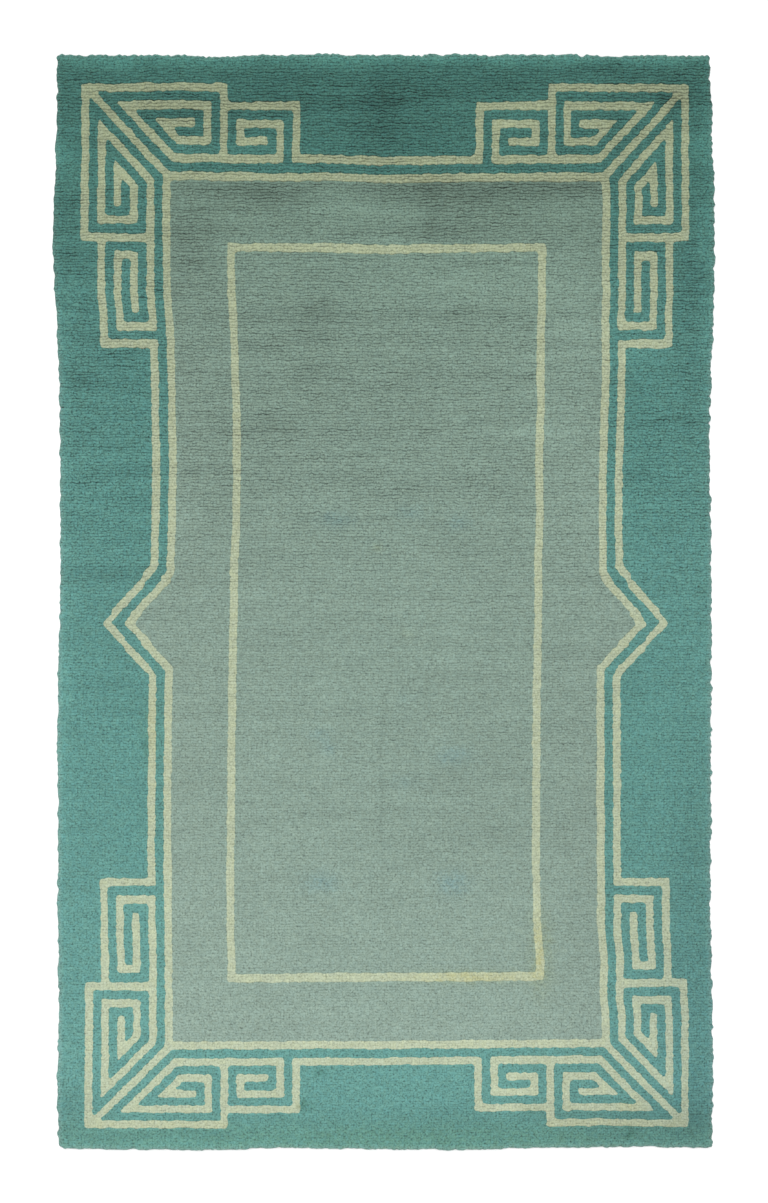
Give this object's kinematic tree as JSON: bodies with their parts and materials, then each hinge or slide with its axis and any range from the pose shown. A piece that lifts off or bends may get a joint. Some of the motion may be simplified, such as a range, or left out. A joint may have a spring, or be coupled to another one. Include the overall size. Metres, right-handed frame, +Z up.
{
  "type": "art deco rug",
  "caption": "Flat rectangular hand-knotted wool rug with a short cut pile, key-pattern corners and a double line frame with pointed sides.",
  "frame": {"origin": "on the floor, under the middle of the rug's outline", "axes": "+Z up out of the pile, +Y along the length to the head end, +X to the right edge seen from above"},
  "size_m": [1.5072, 2.4998, 0.014],
  "materials": {
    "sage_wool": "matt cut wool pile, sage green, faded unevenly",
    "teal_wool": "matt cut wool pile, blue green, darker at the head",
    "ivory_wool": "matt cut wool pile, ivory gone a little yellow",
    "back_weave": "matt woven cotton back with the knots showing through"
  },
  "bodies": {
    "root": {"rug": "sage_wool"}
  },
  "joints": []
}
